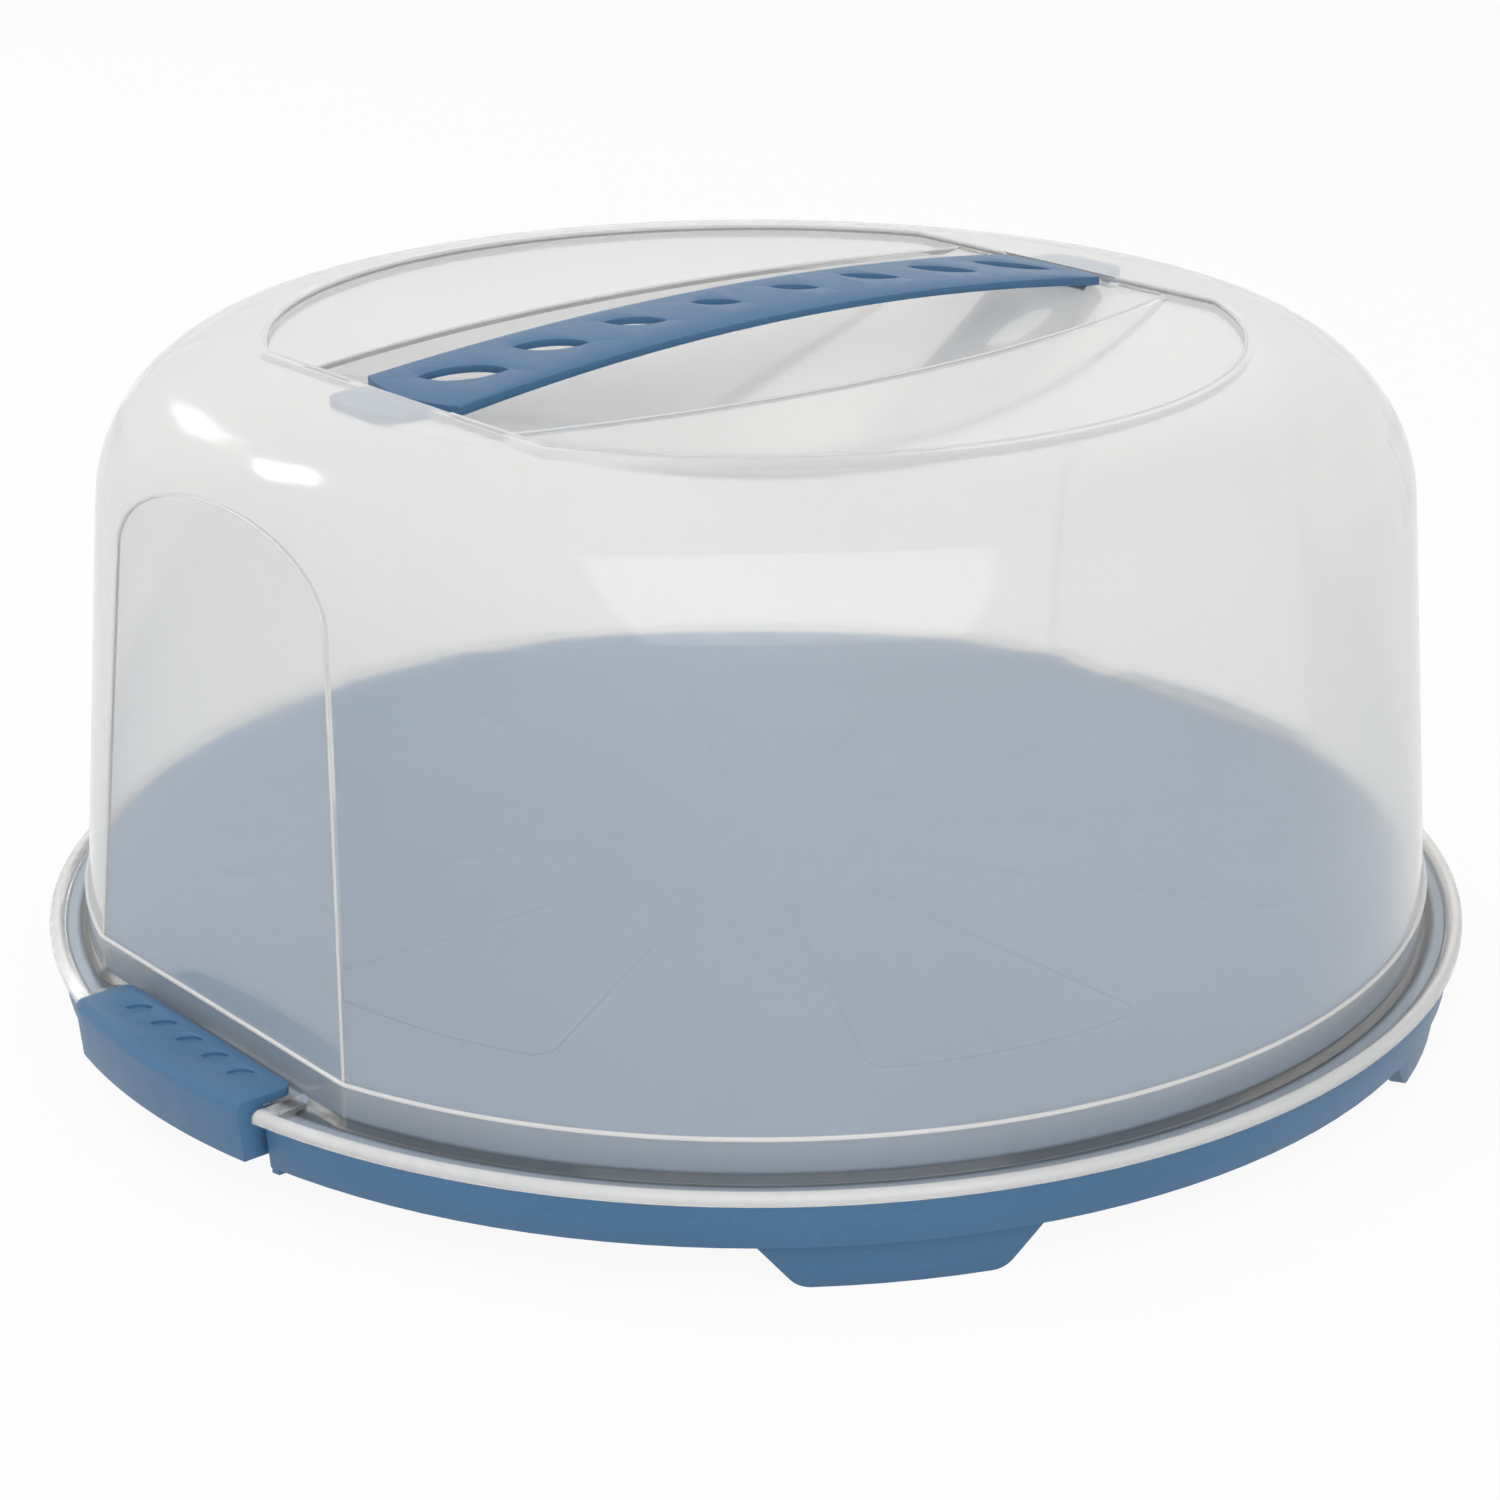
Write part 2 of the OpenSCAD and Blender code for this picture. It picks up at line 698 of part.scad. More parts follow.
module clip() {
    low_r = clip_r - clip_lean - clip_wall;
    color("steelblue") difference() {
        intersection() {
            rotate_extrude() clip_section();
            union() {
                difference() {
                    cylinder(r = clip_r + 1, h = clip_top_z + 1);
                    rotate_extrude()
                        polygon([[0, clip_low_z - 1], [low_r, clip_low_z - 1],
                                 [clip_r - clip_wall, clip_under_z], [0, clip_under_z]]);
                }
                clip_cheeks();
            }
            linear_extrude(clip_top_z + 5) clip_face();
        }
        translate([pin_x, 0, pin_z]) rotate([90, 0, 0])
            cylinder(d = pin_d + 2 * pin_clear, h = clip_len + 2, center = true);
        for (i = [0:dimple_count - 1])
            translate([dimple_x, (i - (dimple_count - 1) / 2) * dimple_pitch, clip_top_z - dimple_depth])
                rotate(dimple_angle) linear_extrude(2) lens(dimple_len, dimple_len / 2);
    }
}

module clip_right() {
    clip();
}

module clip_left() {
    rotate(180) clip();
}

module hinge_pin() {
    color("slategray") translate([pin_x, 0, pin_z]) rotate([90, 0, 0])
        cylinder(d = pin_d, h = clip_len, center = true);
}

module hinge_pin_right() {
    hinge_pin();
}

module hinge_pin_left() {
    rotate(180) hinge_pin();
}

tray_plate();
tray_skirt();
hood();
hood_rim_front();
hood_rim_rear();
hood_seat_left();
hood_seat_right();
carry_handle();
clip_left();
clip_right();
hinge_pin_left();
hinge_pin_right();
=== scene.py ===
"""Round cake carrier with a frosted lift-off hood, dressed for rendering.

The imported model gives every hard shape. This script joins the hood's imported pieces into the
one moulding that is seen, adds its fine moulded lips, softens the edges of the blue mouldings,
gives every piece its finish, and sets up a plain studio with the camera where the photograph
was taken from.
"""

import json
import logging
import math
from dataclasses import dataclass, field
from enum import Enum

import bmesh
import bpy
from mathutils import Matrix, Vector

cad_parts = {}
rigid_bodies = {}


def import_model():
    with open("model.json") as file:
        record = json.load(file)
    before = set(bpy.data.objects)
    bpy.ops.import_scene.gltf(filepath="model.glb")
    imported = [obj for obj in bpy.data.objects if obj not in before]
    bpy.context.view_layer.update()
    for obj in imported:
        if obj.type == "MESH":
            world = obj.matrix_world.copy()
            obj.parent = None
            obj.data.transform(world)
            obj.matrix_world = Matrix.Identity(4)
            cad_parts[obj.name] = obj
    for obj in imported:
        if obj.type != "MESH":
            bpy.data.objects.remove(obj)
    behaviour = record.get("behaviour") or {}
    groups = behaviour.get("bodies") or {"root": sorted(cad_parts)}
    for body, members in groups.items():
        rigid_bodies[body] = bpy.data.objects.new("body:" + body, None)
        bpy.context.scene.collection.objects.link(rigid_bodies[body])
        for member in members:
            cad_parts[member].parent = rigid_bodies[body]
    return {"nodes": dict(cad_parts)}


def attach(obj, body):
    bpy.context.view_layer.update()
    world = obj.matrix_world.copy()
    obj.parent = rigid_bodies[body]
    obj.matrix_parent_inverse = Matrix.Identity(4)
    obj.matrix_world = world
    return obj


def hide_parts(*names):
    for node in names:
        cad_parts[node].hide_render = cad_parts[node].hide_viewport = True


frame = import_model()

LOG = logging.getLogger("cake_carrier")
MM = 0.001
WELD = 1e-6  # corners closer than this, in metres, are one
FLAT_ANGLE = 0.4  # faces that meet at less than this, in degrees, are one before rounding
BEVEL_ANGLE = 40.0  # edges sharper than this, in degrees, are rounded


def ring_arc(radius: float, limit: float, turn: float, steps: int) -> list[tuple[float, float]]:
    """Points along half a circle about the carrier's axis, cut short at both ends.

    Args:
        radius: Radius of the arc, mm.
        limit: Angle left out at each end, radians.
        turn: 0 for the rear half, pi for the front one.
        steps: Number of steps along the arc.

    Returns:
        Each point's x and y, mm.
    """
    angles = [turn + limit + (math.pi - 2 * limit) * i / steps for i in range(steps + 1)]
    return [(radius * math.cos(a), radius * math.sin(a)) for a in angles]


def mm(*values: float) -> tuple[float, ...]:
    """Lengths in millimetres as metres."""
    return tuple(v * MM for v in values)


class Body(Enum):
    """The rigid bodies of the carrier that pieces ride on."""

    BASE = "base"
    HOOD = "hood"
    CLIP_LEFT = "clip_left"
    CLIP_RIGHT = "clip_right"


class Slot(Enum):
    """Material slots of the record."""

    HOOD = "hood_plastic"
    BLUE = "blue_plastic"
    PIN = "pin_plastic"


class NodeGraph:
    """A thin helper round a node tree: it adds nodes and links them by name."""

    def __init__(self, tree: bpy.types.NodeTree) -> None:
        """Keep the tree.

        Args:
            tree: The shader or geometry tree to add to.
        """
        self.tree = tree

    def add(self, kind: str, **settings: object) -> bpy.types.Node:
        """Add a node and set its properties.

        Args:
            kind: Blender's type name of the node.
            **settings: Properties of the node, by name.

        Returns:
            The new node.
        """
        node = self.tree.nodes.new(kind)
        for name, value in settings.items():
            setattr(node, name, value)
        return node

    def link(self, source: bpy.types.NodeSocket, target: bpy.types.NodeSocket) -> None:
        """Join an output to an input."""
        self.tree.links.new(source, target)

    def math(self, operation: str, a: object, b: object = 0.0) -> bpy.types.NodeSocket:
        """Add a Math node.

        Args:
            operation: The node's operation.
            a: First value, as a number or an output socket.
            b: Second value, as a number or an output socket.

        Returns:
            The result's socket.
        """
        node = self.add("ShaderNodeMath", operation=operation)
        for socket, value in zip(node.inputs, (a, b)):
            if isinstance(value, bpy.types.NodeSocket):
                self.link(value, socket)
            else:
                socket.default_value = value
        return node.outputs[0]

    def span(self, value: bpy.types.NodeSocket, low: float, high: float,
             start: float = 0.0, end: float = 1.0) -> bpy.types.NodeSocket:
        """Map a value from one range to another.

        Args:
            value: The value to map.
            low: Result at start.
            high: Result at end.
            start: Lower end of the value's range.
            end: Upper end of the value's range.

        Returns:
            The mapped value's socket.
        """
        node = self.add("ShaderNodeMapRange")
        self.link(value, node.inputs["Value"])
        for name, number in (("From Min", start), ("From Max", end), ("To Min", low), ("To Max", high)):
            node.inputs[name].default_value = number
        return node.outputs["Result"]

    def blend(self, mask: bpy.types.NodeSocket, first: object, second: object) -> bpy.types.NodeSocket:
        """Mix two colours by a mask.

        Args:
            mask: Value from 0 to 1.
            first: Colour at 0, as four numbers or an output socket.
            second: Colour at 1, as four numbers or an output socket.

        Returns:
            The mixed colour's socket.
        """
        node = self.add("ShaderNodeMix", data_type="RGBA")
        self.link(mask, node.inputs[0])
        for socket, value in ((node.inputs[6], first), (node.inputs[7], second)):
            if isinstance(value, bpy.types.NodeSocket):
                self.link(value, socket)
            else:
                socket.default_value = value
        return node.outputs[2]


class SurfaceEffects:
    """Shader node groups that several finishes share."""

    def __init__(self) -> None:
        """Build each group once."""
        self.grain = self._grain()
        self.scuffs = self._scuffs()

    @staticmethod
    def _group(name: str, inputs: dict[str, float], outputs: tuple[str, ...]) -> tuple[
            bpy.types.NodeTree, NodeGraph, bpy.types.Node, bpy.types.Node]:
        """Start a shader group that reads coordinates and some sizes.

        Args:
            name: Name of the group.
            inputs: Names and starting values of its number inputs.
            outputs: Names of its value outputs.

        Returns:
            The tree, its graph helper, its input node and its output node.
        """
        tree = bpy.data.node_groups.new(name, "ShaderNodeTree")
        tree.interface.new_socket("Coordinates", in_out="INPUT", socket_type="NodeSocketVector")
        for label, value in inputs.items():
            socket = tree.interface.new_socket(label, in_out="INPUT", socket_type="NodeSocketFloat")
            socket.default_value = value
        for label in outputs:
            tree.interface.new_socket(label, in_out="OUTPUT", socket_type="NodeSocketFloat")
        graph = NodeGraph(tree)
        return tree, graph, graph.add("NodeGroupInput"), graph.add("NodeGroupOutput")

    def _grain(self) -> bpy.types.NodeTree:
        """Fine grain of a spark-eroded mould, and slow cloudiness of the melt."""
        tree, graph, source, result = self._group(
            "Moulded grain", {"Grain Scale": 1500.0, "Cloud Scale": 14.0}, ("Grain", "Cloud"))
        fine = graph.add("ShaderNodeTexNoise")
        fine.inputs["Detail"].default_value = 2.0
        graph.link(source.outputs["Coordinates"], fine.inputs["Vector"])
        graph.link(source.outputs["Grain Scale"], fine.inputs["Scale"])
        cloud = graph.add("ShaderNodeTexNoise")
        cloud.inputs["Detail"].default_value = 3.0
        graph.link(source.outputs["Coordinates"], cloud.inputs["Vector"])
        graph.link(source.outputs["Cloud Scale"], cloud.inputs["Scale"])
        graph.link(graph.span(fine.outputs[0], 0, 1, 0.3, 0.7), result.inputs["Grain"])
        graph.link(graph.span(cloud.outputs[0], 0, 1, 0.3, 0.7), result.inputs["Cloud"])
        return tree

    def _scuffs(self) -> bpy.types.NodeTree:
        """Faint hairline scuffs from washing and handling, running two ways."""
        tree, graph, source, result = self._group(
            "Handling scuffs", {"Scale": 60.0, "Sparsity": 0.64}, ("Scuffs",))
        lines = []
        for turn, stretch in (((0.3, 0.2, 0.5), (1, 14, 14)), ((0.1, 0.7, 1.9), (14, 1, 14))):
            place = graph.add("ShaderNodeMapping", vector_type="POINT")
            place.inputs["Rotation"].default_value = turn
            place.inputs["Scale"].default_value = stretch
            noise = graph.add("ShaderNodeTexNoise")
            noise.inputs["Detail"].default_value = 1.0
            graph.link(source.outputs["Coordinates"], place.inputs["Vector"])
            graph.link(place.outputs[0], noise.inputs["Vector"])
            graph.link(source.outputs["Scale"], noise.inputs["Scale"])
            over = graph.math("SUBTRACT", noise.outputs[0], source.outputs["Sparsity"])
            lines.append(graph.span(over, 0, 1, 0.0, 0.06))
        graph.link(graph.math("MAXIMUM", lines[0], lines[1]), result.inputs["Scuffs"])
        return tree


@dataclass(frozen=True)
class BluePlastic:
    """Opaque moulded plastic with a fine eroded grain.

    Attributes:
        name: Name of the material.
        colour: Its colour, linear.
        roughness: Its mean roughness.
        grain_depth: Depth of the grain, in metres.
    """

    name: str = "Blue moulded plastic"
    colour: tuple[float, float, float] = (0.052, 0.148, 0.278)
    roughness: float = 0.42
    grain_depth: float = 0.00002

    def make(self, effects: SurfaceEffects) -> bpy.types.Material:
        """Build the material.

        Args:
            effects: The shared shader groups.

        Returns:
            The new material.
        """
        material = bpy.data.materials.new(self.name)
        material.use_nodes = True
        graph = NodeGraph(material.node_tree)
        shader = material.node_tree.nodes["Principled BSDF"]
        where = graph.add("ShaderNodeTexCoord").outputs["Object"]
        grain = graph.add("ShaderNodeGroup", node_tree=effects.grain)
        scuffs = graph.add("ShaderNodeGroup", node_tree=effects.scuffs)
        for node in (grain, scuffs):
            graph.link(where, node.inputs["Coordinates"])
        base = (*self.colour, 1.0)
        pale = (*(min(1.0, c * 1.16 + 0.008) for c in self.colour), 1.0)
        worn = (*(min(1.0, c * 1.25 + 0.03) for c in self.colour), 1.0)
        toned = graph.blend(graph.span(grain.outputs["Cloud"], 0.0, 0.6), base, pale)
        light = graph.blend(graph.span(scuffs.outputs["Scuffs"], 0.0, 0.22), toned, worn)
        graph.link(light, shader.inputs["Base Color"])
        rough = graph.span(grain.outputs["Grain"], self.roughness - 0.03, self.roughness + 0.05)
        graph.link(graph.math("ADD", rough, graph.span(scuffs.outputs["Scuffs"], 0.0, 0.08)),
                   shader.inputs["Roughness"])
        bump = graph.add("ShaderNodeBump")
        bump.inputs["Strength"].default_value = 0.35
        bump.inputs["Distance"].default_value = self.grain_depth
        graph.link(grain.outputs["Grain"], bump.inputs["Height"])
        graph.link(bump.outputs[0], shader.inputs["Normal"])
        shader.inputs["IOR"].default_value = 1.49
        return material


@dataclass(frozen=True)
class FrostedPlastic:
    """Milky, see-through moulded plastic: it blurs what is behind it and lets lamps through.

    Attributes:
        name: Name of the material.
        colour: Its tint, linear.
        clear: Share of the light that each face passes.
        roughness: Its mean roughness.
        index: Its index of refraction.
        lamp: Colour of lamp light after one face.
        coat: Weight of the broad gloss over it.
        coat_roughness: Roughness of that gloss.
        groove_r: Radius where the band meets the gutter, round which shade is painted into the colour,
            in metres.
        groove_z: Height of that corner, in metres.
        groove_fade_r: Distances from that corner, along the radius, over which the painted shade fades.
        groove_fade_z: The same along the height, in metres too.
        groove_painted_shade: Brightness of the colour painted darker as shade in the groove.
        cloud_shade: Brightness of the tint where the melt is cloudy.
    """

    name: str = "Frosted clear plastic"
    colour: tuple[float, float, float] = (0.945, 0.94, 0.93)
    clear: float = 0.83
    roughness: float = 0.08
    index: float = 1.34
    lamp: tuple[float, float, float] = (0.94, 0.937, 0.93)
    coat: float = 0.22
    coat_roughness: float = 0.36
    groove_r: float = 0.1641
    groove_z: float = 0.0229
    groove_fade_r: tuple[float, float] = (0.0011, 0.0022)
    groove_fade_z: tuple[float, float] = (0.0010, 0.0018)
    # Painted shade: the colour in the groove at the band's foot is darkened to this share.
    groove_painted_shade: float = 0.20
    cloud_shade: float = 0.975

    def make(self, effects: SurfaceEffects) -> bpy.types.Material:
        """Build the material.

        Args:
            effects: The shared shader groups.

        Returns:
            The new material.
        """
        material = bpy.data.materials.new(self.name)
        material.use_nodes = True
        graph = NodeGraph(material.node_tree)
        shader = material.node_tree.nodes["Principled BSDF"]
        where = graph.add("ShaderNodeTexCoord").outputs["Object"]
        grain = graph.add("ShaderNodeGroup", node_tree=effects.grain)
        grain.inputs["Grain Scale"].default_value = 900.0
        grain.inputs["Cloud Scale"].default_value = 9.0
        scuffs = graph.add("ShaderNodeGroup", node_tree=effects.scuffs)
        scuffs.inputs["Scale"].default_value = 45.0
        scuffs.inputs["Sparsity"].default_value = 0.67
        for node in (grain, scuffs):
            graph.link(where, node.inputs["Coordinates"])
        base = (*self.colour, 1.0)
        milky = (*(c * self.cloud_shade for c in self.colour), 1.0)
        # Painted shade: a darker copy of the colour, blended in at the groove at the band's foot.
        painted_groove_shade = (*(c * self.groove_painted_shade for c in self.colour), 1.0)
        toned = graph.blend(grain.outputs["Cloud"], base, milky)
        graph.link(graph.blend(self._painted_shade_mask(graph, where), toned, painted_groove_shade), shader.inputs["Base Color"])
        rough = graph.span(grain.outputs["Cloud"], self.roughness - 0.02, self.roughness + 0.02)
        graph.link(graph.math("ADD", rough, graph.span(scuffs.outputs["Scuffs"], 0.0, 0.05)),
                   shader.inputs["Roughness"])
        shader.inputs["Transmission Weight"].default_value = self.clear
        shader.inputs["IOR"].default_value = self.index
        shader.inputs["Coat Weight"].default_value = self.coat
        shader.inputs["Coat Roughness"].default_value = self.coat_roughness
        passing = graph.add("ShaderNodeBsdfTransparent")
        passing.inputs["Color"].default_value = (*self.lamp, 1.0)
        path = graph.add("ShaderNodeLightPath")
        mix = graph.add("ShaderNodeMixShader")
        graph.link(path.outputs["Is Shadow Ray"], mix.inputs[0])
        graph.link(shader.outputs[0], mix.inputs[1])
        graph.link(passing.outputs[0], mix.inputs[2])
        graph.link(mix.outputs[0], material.node_tree.nodes["Material Output"].inputs["Surface"])
        return material

    def _painted_shade_mask(self, graph: NodeGraph, where: bpy.types.NodeSocket) -> bpy.types.NodeSocket:
        """Mask of the shade painted into the colour at the narrow groove at the band's foot, where
        little light gets in.

        Args:
            graph: The material's graph.
            where: Object coordinates.

        Returns:
            A value from 0 to 1.
        """
        parts = graph.add("ShaderNodeSeparateXYZ")
        graph.link(where, parts.inputs[0])
        square = [graph.math("MULTIPLY", parts.outputs[i], parts.outputs[i]) for i in (0, 1)]
        radius = graph.math("SQRT", graph.math("ADD", square[0], square[1]))
        off_r = graph.math("ABSOLUTE", graph.math("SUBTRACT", radius, self.groove_r))
        off_z = graph.math("ABSOLUTE", graph.math("SUBTRACT", parts.outputs[2], self.groove_z))
        near_r = graph.span(off_r, 1.0, 0.0, *self.groove_fade_r)
        near_z = graph.span(off_z, 1.0, 0.0, *self.groove_fade_z)
        return graph.math("MULTIPLY", near_r, near_z)


@dataclass(frozen=True)
class Finishes:
    """Every finish of the carrier, built once."""

    hood: bpy.types.Material
    lip: bpy.types.Material
    blue: bpy.types.Material
    pin: bpy.types.Material

    @classmethod
    def build(cls) -> "Finishes":
        """Make the shader groups and the materials."""
        effects = SurfaceEffects()
        pin = BluePlastic("Pin plastic", (0.040, 0.100, 0.180), 0.36, 0.00001)
        lip = FrostedPlastic("Frosted lip", (0.965, 0.963, 0.957), clear=0.62, roughness=0.20)
        return cls(FrostedPlastic().make(effects), lip.make(effects), BluePlastic().make(effects),
                   pin.make(effects))


class SweptBead:
    """Geometry Nodes tree that sweeps a round bead along the edges of a mesh."""

    def __init__(self) -> None:
        """Build the tree once, with named inputs for its sizes."""
        tree = bpy.data.node_groups.new("Swept bead", "GeometryNodeTree")
        tree.interface.new_socket("Geometry", in_out="INPUT", socket_type="NodeSocketGeometry")
        self.inputs: dict[str, str] = {}
        for name, kind, value in (("Bead Radius", "NodeSocketFloat", 0.0004),
                                  ("Spacing", "NodeSocketFloat", 0.0015),
                                  ("Sides", "NodeSocketInt", 8),
                                  ("Finish", "NodeSocketMaterial", None)):
            socket = tree.interface.new_socket(name, in_out="INPUT", socket_type=kind)
            if value is not None:
                socket.default_value = value
            self.inputs[name] = socket.identifier
        tree.interface.new_socket("Geometry", in_out="OUTPUT", socket_type="NodeSocketGeometry")
        graph = NodeGraph(tree)
        source, result = graph.add("NodeGroupInput"), graph.add("NodeGroupOutput")
        curve = graph.add("GeometryNodeMeshToCurve")
        even = graph.add("GeometryNodeResampleCurve", mode="LENGTH")
        profile = graph.add("GeometryNodeCurvePrimitiveCircle")
        sweep = graph.add("GeometryNodeCurveToMesh")
        sweep.inputs["Fill Caps"].default_value = True
        smooth = graph.add("GeometryNodeSetShadeSmooth")
        real = graph.add("GeometryNodeRealizeInstances")
        paint = graph.add("GeometryNodeSetMaterial")
        graph.link(source.outputs["Geometry"], curve.inputs["Mesh"])
        graph.link(curve.outputs[0], even.inputs["Curve"])
        graph.link(source.outputs["Spacing"], even.inputs["Length"])
        graph.link(source.outputs["Bead Radius"], profile.inputs["Radius"])
        graph.link(source.outputs["Sides"], profile.inputs["Resolution"])
        graph.link(even.outputs[0], sweep.inputs["Curve"])
        graph.link(profile.outputs[0], sweep.inputs["Profile Curve"])
        graph.link(sweep.outputs[0], smooth.inputs[0])
        graph.link(smooth.outputs[0], real.inputs[0])
        graph.link(real.outputs[0], paint.inputs[0])
        graph.link(source.outputs["Finish"], paint.inputs["Material"])
        graph.link(paint.outputs[0], result.inputs["Geometry"])
        self.tree = tree

    def along(self, name: str, paths: list[tuple[list[Vector], bool]], radius: float,
              finish: bpy.types.Material, sides: int = 8) -> bpy.types.Object:
        """Sweep the bead along some paths.

        Args:
            name: Name of the new piece.
            paths: Each path's points and whether it is closed.
            radius: Radius of the bead, in metres.
            finish: Its material.
            sides: Number of faces round the bead.

        Returns:
            The finished piece as a plain mesh.
        """
        points: list[Vector] = []
        edges: list[tuple[int, int]] = []
        for path, closed in paths:
            first = len(points)
            points += path
            edges += [(first + i, first + i + 1) for i in range(len(path) - 1)]
            if closed:
                edges.append((first + len(path) - 1, first))
        mesh = bpy.data.meshes.new(name + "_path")
        mesh.from_pydata(points, edges, [])
        carrier = bpy.data.objects.new(name + "_path", mesh)
        bpy.context.scene.collection.objects.link(carrier)
        modifier = carrier.modifiers.new("Bead", "NODES")
        modifier.node_group = self.tree
        modifier[self.inputs["Bead Radius"]] = radius
        modifier[self.inputs["Sides"]] = sides
        modifier[self.inputs["Finish"]] = finish
        return evaluated(name, carrier)


@dataclass
class Hood:
    """The frosted dome, with its moulded lips.

    Attributes:
        nodes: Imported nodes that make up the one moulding.
        ledge_z: Height of the ledge that the wall stands on, mm.
        top_z: Height of the top, mm.
        wall_r: Radius of the wall at the ledge, mm.
        wall_draft: Draft of the wall, degrees.
        shoulder_r: Radius of the shoulder, mm.
        flat_x: Distance of the flats at the ledge, mm.
        flat_draft: Draft of the flats, degrees.
        band_r: Radius of the band under the ledge, mm.
        band_flat_x: Distance of the band's flats, mm.
        panel_r: Radius of the sunken panel, mm.
        panel_x: Half length of the panel, mm.
        seat_half: Half width of the gap in the panel's lip at each end of the handle, mm.
        panel_z: Height of the panel, mm.
        trough_w: Width of the trough at its middle, mm.
        trough_end_w: Width of the trough at its ends, mm.
        rim_r: Radius of the rim, mm.
        bead_r: Radius of the bead at the rim's edge, mm.
        crest_z: Height of the rim's crest, mm.
        notch_half: Half width of each clip's notch in the rim, mm.
        panel_lip_drop: Depth of the panel's lip line under the top, mm.
        ledge_lip_in: How far the ledge's line stands in from the band, mm.
        ledge_lip_drop: Depth of the ledge's line under the ledge, mm.
        flat_lip_r: Radius of the lines along the flats' edges, mm.
        trough_lip_r: Radius of the lines along the trough's edges, mm.
        panel_lip_r: Radius of the lines along the panel's edge, mm.
        ledge_lip_r: Radius of the ledge's line, mm.
        rim_lip_proud: How far the smooth bead stands over the rim's own, mm.
        rim_lip_sides: Number of faces round the smooth bead.
        sharp: Angle from which an edge stays crisp, degrees.
    """

    nodes: tuple[str, ...] = ("hood", "hood_rim_front", "hood_rim_rear",
                              "hood_seat_left", "hood_seat_right")
    ledge_z: float = 32.0
    top_z: float = 160.2
    wall_r: float = 162.7
    wall_draft: float = 5.0
    shoulder_r: float = 37.0
    flat_x: float = 155.0
    flat_draft: float = 3.7
    band_r: float = 163.4
    band_flat_x: float = 155.7
    panel_r: float = 113.7
    panel_x: float = 101.0
    seat_half: float = 19.5
    panel_z: float = 158.7
    trough_w: float = 104.0
    trough_end_w: float = 72.0
    rim_r: float = 172.5
    bead_r: float = 1.6
    crest_z: float = 24.0
    notch_half: float = 35.1
    panel_lip_drop: float = 0.25
    ledge_lip_in: float = 0.35
    ledge_lip_drop: float = 0.3
    flat_lip_r: float = 0.36
    trough_lip_r: float = 0.35
    panel_lip_r: float = 0.45
    ledge_lip_r: float = 0.52
    rim_lip_proud: float = 0.01
    rim_lip_sides: int = 22
    sharp: float = 15.0

    def surface_radius(self, z: float) -> float:
        """Radius of the dome's outer face at a height, both in mm."""
        draft = math.radians(self.wall_draft)
        centre_z = self.top_z - self.shoulder_r
        tangent_z = centre_z + self.shoulder_r * math.sin(draft)
        centre_r = (self.wall_r - (tangent_z - self.ledge_z) * math.tan(draft)
                    - self.shoulder_r * math.cos(draft))
        if z < tangent_z:
            return self.wall_r - (z - self.ledge_z) * math.tan(draft)
        return centre_r + math.sqrt(max(0.0, self.shoulder_r ** 2 - (z - centre_z) ** 2))

    def arch(self, side: int) -> list[Vector]:
        """Edge of one flat, from ledge to ledge.

        Args:
            side: 1 for the flat at +X, -1 for the one at -X.

        Returns:
            Points in metres.
        """
        slope = math.tan(math.radians(self.flat_draft))
        points: list[Vector] = []
        low, high = self.ledge_z + 1.0, self.top_z
        for _ in range(40):
            mid = (low + high) / 2
            if self.surface_radius(mid) > self.flat_x - (mid - self.ledge_z) * slope:
                low = mid
            else:
                high = mid
        top = low
        for i in range(61):
            z = self.ledge_z + 0.3 + (top - self.ledge_z - 0.3) * math.sin(math.pi / 2 * i / 60)
            x = self.flat_x - (z - self.ledge_z) * slope
            y = math.sqrt(max(0.0, self.surface_radius(z) ** 2 - x * x))
            points.append(Vector(mm(side * x, y, z)))
        return points + [Vector((p.x, -p.y, p.z)) for p in reversed(points[:-1])]

    def panel_lips(self) -> list[list[Vector]]:
        """Upper edge of the sunken panel on each side of the handle, in metres."""
        limit = math.acos(self.panel_x / self.panel_r)
        z = self.top_z - self.panel_lip_drop
        rear = [(self.panel_x, self.seat_half), *ring_arc(self.panel_r, limit, 0.0, 80),
                (-self.panel_x, self.seat_half)]
        return [[Vector(mm(side * x, side * y, z)) for x, y in rear] for side in (1, -1)]

    def trough_lips(self) -> list[list[Vector]]:
        """Upper edges of the trough under the handle, in metres."""
        rise = (self.trough_w - self.trough_end_w) / 2
        r = (self.panel_x ** 2 + rise ** 2) / (2 * rise)
        lips = []
        for side in (1, -1):
            lips.append([])
            for i in range(-60, 61):
                x = i / 60 * (self.panel_x - 1.0)
                y = self.trough_w / 2 - r + math.sqrt(r * r - x * x)
                lips[-1].append(Vector(mm(x, side * y, self.panel_z)))
        return lips

    def rim_lines(self) -> list[list[Vector]]:
        """Middle of the rim's bead between the two clips' notches, in metres."""
        r, z = self.rim_r - self.bead_r, self.crest_z - self.bead_r
        limit = math.asin(self.notch_half / r)
        return [[Vector(mm(x, y, z)) for x, y in ring_arc(r, limit, turn, 240)]
                for turn in (0.0, math.pi)]

    def ledge_line(self) -> list[Vector]:
        """Top edge of the band, right round, in metres."""
        limit = math.acos(self.band_flat_x / self.band_r)
        inward = 1.0 - self.ledge_lip_in / self.band_r
        z = self.ledge_z - self.ledge_lip_drop
        return [Vector(mm(x * inward, y * inward, z)) for turn in (0.0, math.pi)
                for x, y in ring_arc(self.band_r, limit, turn, 160)]

